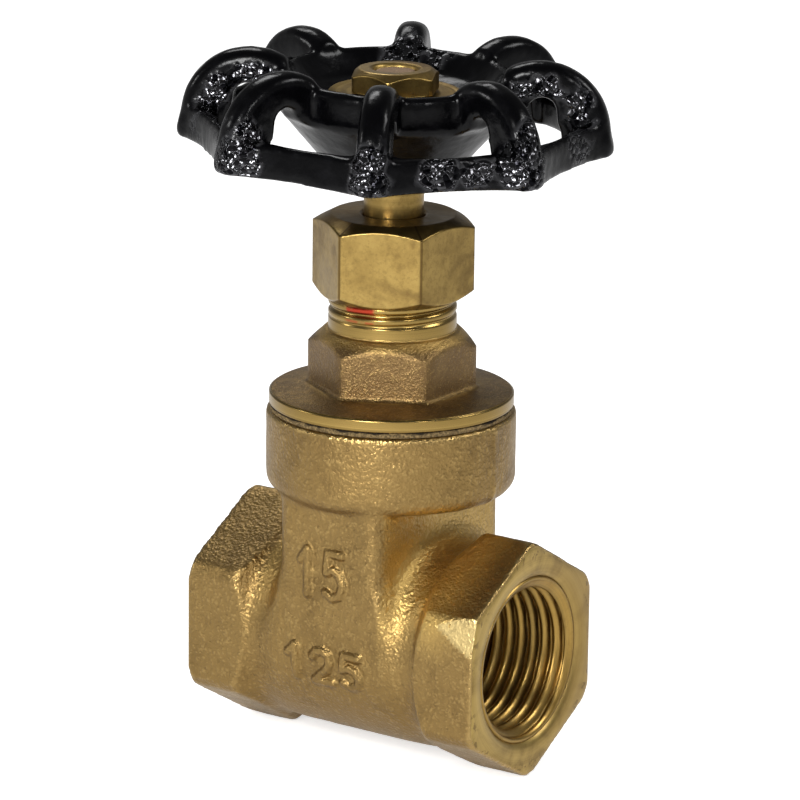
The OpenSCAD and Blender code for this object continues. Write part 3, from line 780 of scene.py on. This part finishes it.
# painted light: the hollows beside the chamber, on the barrel, are painted gold as if lit; start, end and
# fade of each edge
nookGlowShape = {"deepReach": 0.0134, "nearShare": 0.6, "fromMm": 7.9, "fromFadeMm": 0.5, "toMm": 20.5,
             "toFadeMm": 4, "inletToMm": 12.8, "inletFadeMm": 1.0, "inletShare": 0.6, "top": 0.0205,
             "topFade": 0.0015, "lowMm": 2, "lowFadeMm": 9, "radius": 0.0126}
numberShape = {
    "upper": {"text": "15", "x": 21.6, "z": 10.9, "height": 6.0, "width": 2.9, "gap": 1.7},
    "lower": {"text": "125", "x": 21.9, "z": -1.7, "height": 4.4, "width": 3.0, "gap": 1.6},
    "stroke": 0.18, "soft": 0.70, "rise": 0.55, "front": -0.0112, "halfWidth": 0.0085,
    "finerX": (0.0148, 0.0290), "finerZ": (-0.0050, 0.0150), "finerTimes": 2,
}
digitLines = {
    "1": [(0.25, 0.74), (0.62, 1.0), (0.62, 0.0)],
    "2": [(0.05, 0.78), (0.22, 0.96), (0.55, 1.0), (0.86, 0.88), (0.94, 0.66), (0.78, 0.44),
          (0.05, 0.0), (1.0, 0.0)],
    "5": [(0.92, 1.0), (0.16, 1.0), (0.08, 0.56), (0.42, 0.64), (0.76, 0.56), (0.95, 0.32), (0.78, 0.08),
          (0.40, 0.0), (0.04, 0.10)],
}


def numberLines(row):
    # the strokes of a number as (x, z) segments, in millimetres
    wide = len(row["text"]) * row["width"] + (len(row["text"]) - 1) * row["gap"]
    left = row["x"] - wide / 2
    segments = []
    for letter in row["text"]:
        corners = [(left + u * row["width"], row["z"] + (v - 0.5) * row["height"])
                   for u, v in digitLines[letter]]
        segments += list(zip(corners, corners[1:]))
        left += row["width"] + row["gap"]
    return segments


def finerFront(mesh):
    # the numbered front gets faces of half the size, twice
    (left, right), (low, high) = numberShape["finerX"], numberShape["finerZ"]
    for _ in range(numberShape["finerTimes"]):
        work = bmesh.new()
        work.from_mesh(mesh)
        inFront = [e for e in work.edges if all(
            v.co.y < numberShape["front"] and left < v.co.x < right and low < v.co.z < high
            for v in e.verts)]
        bmesh.ops.subdivide_edges(work, edges=inFront, cuts=1, use_grid_fill=True)
        work.to_mesh(mesh)
        work.free()


def raiseNumbers(mesh):
    # soft-shouldered strokes stand up from the front of the chamber
    n = numberShape
    points = pointsOf(mesh)
    x, z = points[:, 0] / mm, points[:, 2] / mm
    near = (points[:, 1] < n["front"]) & (np.abs(points[:, 0] - stemX) < n["halfWidth"])
    distance = np.full(len(points), 99.0)
    for row in (n["upper"], n["lower"]):
        for (x0, z0), (x1, z1) in numberLines(row):
            dx, dz = x1 - x0, z1 - z0
            share = np.clip(((x - x0) * dx + (z - z0) * dz) / (dx * dx + dz * dz), 0, 1)
            distance = np.minimum(distance, np.hypot(x - x0 - share * dx, z - z0 - share * dz))
    t = fadeOut(distance, n["stroke"] + n["soft"], n["soft"])
    rise = np.where(near, t * t * (3 - 2 * t), 0) * n["rise"] * mm
    setPoints(mesh, points - np.outer(rise, (0, 1, 0)))


def softenBody(mesh):
    # the barrel and the mouths' edges are rounded over more than the rest
    b = bodyShape
    edges = edgesOf(mesh)
    points = spread(pointsOf(mesh), edges, b["smoothing"], 0.5)
    reach = np.abs(points[:, 0] - stemX) / mm
    radius = np.hypot(points[:, 1], points[:, 2]) / mm
    blend = fadeIn(reach, b["barrelFromMm"], b["barrelFadeMm"])
    blend *= fadeOut(reach, b["barrelToMm"], b["barrelEndMm"])
    blend *= (radius > b["barrelRadiusMm"]) & (points[:, 2] < b["barrelTop"])
    mouth = fadeOut(np.abs(radius - b["mouthRadiusMm"]), b["mouthMm"], b["mouthFadeMm"])
    blend += np.minimum(mouth, b["mouthShare"]) * (reach > b["mouthReachMm"])
    soft = spread(points, edges, b["barrelSoftening"], 0.5)
    setPoints(mesh, points + (soft - points) * blend[:, None])


def castPush(points, normals):
    # how far the casting's waves and its parting seam stand out; cut faces stay
    b = bodyShape
    x, y, z = points.T
    reach = np.abs(x - stemX)
    socket = (np.hypot(y, z) < b["socketR"]) & (reach > b["socketEnd"])
    chamber = (np.hypot(x - stemX, y) < b["chamberR"]) & (z > 0.0)
    cutFace = (reach > stemX - b["faceSlack"]) | (z > bodyHigh.z - b["topSlack"])
    free = ~(socket | chamber | cutFace)
    wave = noiseAt(points, b["waveSize"], 3) + 0.5 * noiseAt(points, b["waveSize"] * b["fineWave"], 5)
    seam = np.exp(-(y / b["seamWidth"]) ** 2) * (1 + b["seamRough"] * noiseAt(points, b["seamGrain"], 8))
    outward = (np.abs(normals[:, 1]) < b["seamSide"]) & free
    return np.where(free, wave * b["wave"], 0) + np.where(outward, seam * b["seam"], 0)


def fileCorner(points, place):
    # what stands over a plane across the near hex corner is taken off; also gives the filed mark
    f = filedShape
    x, y, z = place.T
    flatY, cornerZ = -f["hexFlat"], f["hexFlat"] * math.tan(math.radians(30))
    corners = [Vector((pipeEnd - f["length"], flatY, cornerZ)),
               Vector((pipeEnd, flatY + f["leanY"], cornerZ + f["leanZ"])),
               Vector((pipeEnd, flatY, cornerZ - f["height"]))]
    normal = (corners[1] - corners[0]).cross(corners[2] - corners[0]).normalized()
    if normal.y > 0:
        normal.negate()
    near = (x > pipeEnd - f["reach"]) & (y < f["front"]) & (z > f["low"]) & (z < f["high"])
    over = np.where(near, (points - np.array(corners[0] - normal * f["depth"])) @ np.array(normal), -1)
    points = points - np.clip(over, 0, None)[:, None] * np.array(normal)
    return points, fadeIn(over, f["markFrom"], f["markFade"]) * near


def nookGlowMark(place):
    # 1 where a gold glow is painted into the hollows between chamber, barrel and hexes, less on the inlet's
    # side
    k = nookGlowShape
    x, y, z = place.T
    reach = np.abs(x - stemX)
    nook = np.where(reach > k["deepReach"], 1.0, k["nearShare"])
    nook = nook * fadeIn(reach / mm, k["fromMm"], k["fromFadeMm"])
    nook = nook * fadeOut(reach / mm, k["toMm"], k["toFadeMm"])
    inlet = np.minimum(fadeOut(reach / mm, k["inletToMm"], k["inletFadeMm"]), k["inletShare"])
    nook *= np.where(x > stemX, 1.0, inlet) * fadeOut(z, k["top"], k["topFade"])
    return nook * fadeIn(z / mm, k["lowMm"], k["lowFadeMm"]) * (np.hypot(y, z) > k["radius"])


def makeBody():
    mesh = remeshedCopy("body", bodyShape["voxel"])
    softenBody(mesh)
    finerFront(mesh)
    raiseNumbers(mesh)
    place, normals = pointsOf(mesh), normalsOf(mesh)
    points = place + normals * castPush(place, normals)[:, None]
    points, filed = fileCorner(points, place)
    setPoints(mesh, keptInBox(points, bodyLow, bodyHigh))
    markPoints(mesh, "nook", nookGlowMark(place))
    markPoints(mesh, "filed", filed)
    markWear(mesh, bodyShape["bend"])
    showPiece("castBody", mesh, "body", "valve_body", "body")


makeBody()
print("body ready")


# threads in both sockets; a power below 1 makes the ridges broad and the grooves sharp
socketThread = {"pitch": 1.814, "rootR": 10.62, "crestR": 9.45, "taper": 1 / 32, "start": 0.55,
                "end": 12.55, "runIn": 0.9, "power": 0.42, "backing": 0.35, "around": 144, "perTurn": 14}


def makeSocketThread(name, mouthX, inward):
    t = socketThread
    length = t["end"] - t["start"]
    rows = int(length / t["pitch"] * t["perTurn"])
    angles = evenAngles(t["around"])

    def pointAt(x, r, angle):
        return (mouthX + inward * x * mm, r * math.cos(angle) * mm, -inward * r * math.sin(angle) * mm)

    points = []
    for i in range(rows + 1):
        x = t["start"] + length * i / rows
        fade = min(1, (x - t["start"]) / t["runIn"])
        for k, angle in enumerate(angles):
            phase = (x / t["pitch"] - k / t["around"]) % 1
            rise = (0.5 - 0.5 * math.cos(2 * math.pi * phase)) ** t["power"]
            r = t["rootR"] - x * t["taper"] - rise * fade * (t["rootR"] - t["crestR"])
            points.append(pointAt(x, r, angle))
    for x in (t["end"], t["start"]):
        points += [pointAt(x, t["rootR"] + t["backing"], angle) for angle in angles]
    mesh = ringMesh(name, points, t["around"])
    mesh.attributes.new("wear", "FLOAT", "POINT")
    showPiece(name, mesh, "socket", "valve_body")


makeSocketThread("inletThread", 0, 1)
makeSocketThread("outletThread", pipeEnd, -1)
print("threads ready")


# turned pieces: sections are (radius, height) in millimetres, and only the outer line is cut into steps;
# waves and "bend", the bend that counts in full as an edge, are in metres
bonnetShape = {
    "outer": [(10.0, 23.5), (12.5, 23.5), (12.5, 31.1), (15.8, 31.1), (15.95, 31.25), (15.95, 32.6),
              (15.65, 32.8), (11.4, 33.45), (11.05, 33.8), (11.05, 38.95), (8.85, 40.95), (8.35, 41.1),
              (8.35, 52.8)],
    "inner": [(8.1, 52.8), (6.3, 52.8), (6.3, 38.2), (4.0, 38.2), (4.0, 29.8), (10.0, 29.8)],
    "step": 0.16, "flats": 19.5, "turn": -1.3, "cornerSoft": 0.55, "hexLow": 33.5, "hexTop": 40.99,
    "hexFromR": 8.5, "hexToR": 11.45, "hollow": 0.55, "hollowR": 0.45, "skinR": 8.35, "pitch": 1.4,
    "depth": 0.5, "threadLow": 42.7, "crest": 42.465, "power": 2.4, "startShare": 0.35, "runIn": 1.4,
    "wave": 0.00004, "waveSize": 0.0021, "waveLow": 0.0331, "waveHigh": 0.0407, "waveR": 0.0088,
    "bend": 0.00010,
}


def bonnetReshape(angle, r, z):
    b = bonnetShape
    if b["hexLow"] - 0.3 < z < b["hexTop"] and b["hexFromR"] < r <= b["hexToR"]:
        # the hex meets the flange in a small hollow
        lift = max(0, b["hexLow"] + b["hollow"] - z) / b["hollow"]
        hexR = hexRadius(angle, b["flats"], b["turn"]) + b["hollowR"] * lift ** 2
        r = softMin(r, hexR, b["cornerSoft"])
    if z > b["threadLow"] and abs(r - b["skinR"]) < 0.01:
        phase = ((z - b["crest"]) / b["pitch"] - angle / (2 * math.pi)) % 1
        wave = 0.5 - 0.5 * math.cos(2 * math.pi * phase)
        fade = min(1, b["startShare"] + (z - b["threadLow"]) / b["runIn"])
        r -= b["depth"] * fade * wave ** b["power"]
    return r, z


def castWaves(mesh):
    # the hex's cast skin is uneven
    b = bonnetShape
    points = pointsOf(mesh)
    z, radius = points[:, 2], np.hypot(points[:, 0] - stemX, points[:, 1])
    skin = (z > b["waveLow"]) & (z < b["waveHigh"]) & (radius > b["waveR"])
    push = np.where(skin, noiseAt(points, b["waveSize"], 21) * b["wave"], 0)
    setPoints(mesh, points + normalsOf(mesh) * push[:, None])


nutShape = {
    "outer": [(8.5, 45.4), (8.9, 45.4), (10.63, 46.56), (10.63, 54.85), (8.1, 56.2), (4.35, 56.2)],
    "inner": [(4.0, 55.85), (4.0, 54.2), (8.5, 54.2)],
    "step": 0.22, "flats": 18.6, "turn": -5.5, "cornerSoft": 0.10, "hexFromR": 8.55,
    "lineFrom": 28.9, "lineFade": 0.5,
}


def darkCorners(mesh):
    # a fine dark line down each corner, where the direction is 30 degrees off a flat's middle
    points = pointsOf(mesh)
    angle = np.degrees(np.arctan2(points[:, 1], points[:, 0] - stemX)) - nutShape["turn"] + 30
    markPoints(mesh, "wear", fadeIn(np.abs(angle % 60 - 30), nutShape["lineFrom"], nutShape["lineFade"]))


wheelNutShape = {
    "outer": [(2.95, 72.31), (5.9, 72.31), (5.9, 74.31), (4.75, 75.16), (4.55, 75.21), (3.3, 75.21)],
    "inner": [(2.95, 74.86)],
    "step": 0.12, "flats": 10.5, "turn": 25.5, "cornerSoft": 0.10, "hexFromR": 3.35, "bend": 0.00006,
}
gasketShape = {
    "outer": [(12.6, 30.4), (15.9, 30.4), (15.95, 30.6), (15.95, 30.9), (15.9, 31.1), (12.6, 31.1)],
    "step": 0.12, "around": 240, "edgeFrom": 15, "ragged": 0.10, "waves": 9, "wavesUp": 0.8,
    "middle": 30.75, "half": 0.35, "sunk": 0.22,
}


def gasketReshape(angle, r, z):
    # the edge is ragged, and its upper half shrinks back under the flange
    g = gasketShape
    if r > g["edgeFrom"]:
        place = Vector((math.cos(angle) * g["waves"], math.sin(angle) * g["waves"], z * g["wavesUp"]))
        r -= g["ragged"] * (0.5 + 0.5 * noise.noise(place)) + g["sunk"] * max(0, z - g["middle"]) / g["half"]
    return r, z


discShape = {
    "outer": [(3.12, 71.5), (8.55, 71.5), (8.7, 71.65), (8.7, 71.95), (8.55, 72.1), (8.0, 72.08),
              (7.8, 72.0), (7.6, 72.08), (3.12, 72.1)],
    "step": 0.25, "around": 160, "dentLow": 71.9, "dentFromR": 3.12, "dentToR": 8.4, "dent": 0.05,
    "dentSize": 2.6, "bend": 0.00006, "lean": 2, "leanTurn": 57, "leanHeight": 0.06725,
}


def discReshape(angle, r, z):
    # the upper face is slightly dented
    d = discShape
    if d["dentLow"] < z and d["dentFromR"] < r < d["dentToR"]:
        place = Vector((math.cos(angle) * r, math.sin(angle) * r, 4)) / d["dentSize"]
        z -= d["dent"] * (1 + noise.noise(place))
    return r, z


def leanDisc(mesh):
    # the disc leans with the wheel, about the middle of the square
    d = discShape
    turn = Matrix.Rotation(math.radians(d["leanTurn"]), 4, "Z")
    place = Matrix.Translation((stemX, 0, d["leanHeight"])) @ turn
    mesh.transform(place @ Matrix.Rotation(math.radians(d["lean"]), 4, "X") @ place.inverted())


stemShape = {
    "outer": [(0.02, 8.9), (2.8, 8.9), (3.4, 9.5), (3.4, 29.3), (3.9, 29.8), (3.9, 38.5), (6.0, 38.5),
              (6.0, 41.2), (3.9, 41.2), (3.9, 62.51), (3.88, 62.76), (3.88, 71.26), (2.85, 71.28),
              (2.85, 74.41), (2.45, 74.81), (0.02, 74.78)],
    "step": 0.25, "around": 96, "squareLow": 62.76, "squareTop": 71.26, "half": 3.0, "squareFromR": 2.86,
    "cornerSoft": 0.15, "screwLow": 9.5, "screwTop": 29.2, "screwR": 3.4, "pitch": 2.5, "depth": 0.65,
    "bend": 0.00010,
}


def stemReshape(angle, r, z):
    s = stemShape
    if s["squareLow"] < z <= s["squareTop"] and r > s["squareFromR"]:
        local = (math.degrees(angle) + 45) % 90 - 45
        r = softMin(r, s["half"] / math.cos(math.radians(local)), s["cornerSoft"])
    if s["screwLow"] < z < s["screwTop"] and abs(r - s["screwR"]) < 0.01:
        phase = (z / s["pitch"] - angle / (2 * math.pi)) % 1
        r -= s["depth"] * max(0, min(1, (abs(2 * phase - 1) - 0.45) / 0.2))
    return r, z


makeTurned("bonnetCasting", bonnetShape, bonnetReshape, "bonnet", "valve_body", "bonnet",
           castWaves)
makeTurned("packingNutCut", nutShape, hexCut(nutShape), "nut", "valve_body", "packing_nut",
           darkCorners)
makeTurned("wheelNutCut", wheelNutShape, hexCut(wheelNutShape), "wheelNut", "wheel",
           "wheel_nut")
makeTurned("gasketSheet", gasketShape, gasketReshape, "fibre", "valve_body", "gasket")
makeTurned("discPlate", discShape, discReshape, "disc", "wheel", "plain_disc", leanDisc)
makeTurned("stemTurned", stemShape, stemReshape, "stem", "wheel", "stem")
print("turned pieces ready")


# handwheel
wheelShape = {"voxel": 0.00036, "smoothing": 10, "hubR": 0.0050, "lump": 0.00005, "lumpSize": 0.0026,
              "fineLump": 0.45, "lumpFrom": 0.0056, "ragged": 1.2, "raggedSize": 0.0022, "patchFade": 2.0}
# rough patches of the casting: direction from +X, distance from the stem, height, radius of a ring, reach
roughPatches = [
    (-151.3, 18.6, 68.0, 6.3, 2.0), (28.7, 18.6, 68.0, 6.3, 2.0), (-103, 27.5, 66.0, 0, 4.4),
    (-104, 25.0, 70.0, 0, 2.8), (-61.3, 28.0, 65.5, 0, 3.6), (-61.3, 27.5, 69.0, 0, 3.2),
    (-42, 26.0, 66.5, 0, 3.6), (-32, 26.5, 66.5, 0, 3.2), (-19, 27.5, 67.0, 0, 4.6),
    (-16, 26.0, 71.0, 0, 2.6), (120, 14.5, 73.0, 0, 4.6), (100, 14.0, 72.5, 0, 3.4),
    (12, 26.0, 67.0, 0, 3.4), (150, 26.0, 70.0, 0, 3.4), (75, 24.0, 70.0, 0, 3.4),
]


def roughMark(points):
    # 1 in the rough patches, with ragged edges
    mark = np.zeros(len(points))
    ragged = wheelShape["ragged"] * noiseAt(points, wheelShape["raggedSize"], 41)
    for angle, distance, height, ring, reach in roughPatches:
        a = math.radians(angle)
        centre = np.array((stemX + distance * mm * math.cos(a), distance * mm * math.sin(a), height * mm))
        away = np.abs(np.linalg.norm(points - centre, axis=1) / mm - ring) + ragged
        mark = np.maximum(mark, fadeOut(away, reach, wheelShape["patchFade"]))
    return mark


def makeWheel():
    w = wheelShape
    mesh = remeshedCopy("handwheel", w["voxel"])
    points = pointsOf(mesh)
    radius = np.hypot(points[:, 0] - stemX, points[:, 1])
    soft = spread(points, edgesOf(mesh), w["smoothing"], 0.5)
    points = np.where((radius < w["hubR"])[:, None], points, soft)
    setPoints(mesh, points)
    lump = noiseAt(points, w["lumpSize"], 31) + 0.5 * noiseAt(points, w["lumpSize"] * w["fineLump"], 35)
    push = np.where(radius > w["lumpFrom"], lump * w["lump"], 0)
    points = keptInBox(points + normalsOf(mesh) * push[:, None], *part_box("handwheel"))
    setPoints(mesh, points)
    markPoints(mesh, "pebbled", roughMark(points))
    showPiece("wheelCasting", mesh, "wheel", "wheel", "handwheel")


makeWheel()
print("handwheel ready")


# the hidden pieces keep their solids
for nodeName, finish in (("packing", "packing"), ("gland", "nut"), ("wedge", "body")):
    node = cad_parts[nodeName]
    node.data.materials.clear()
    node.data.materials.append(finishes[finish])

print("all pieces ready")
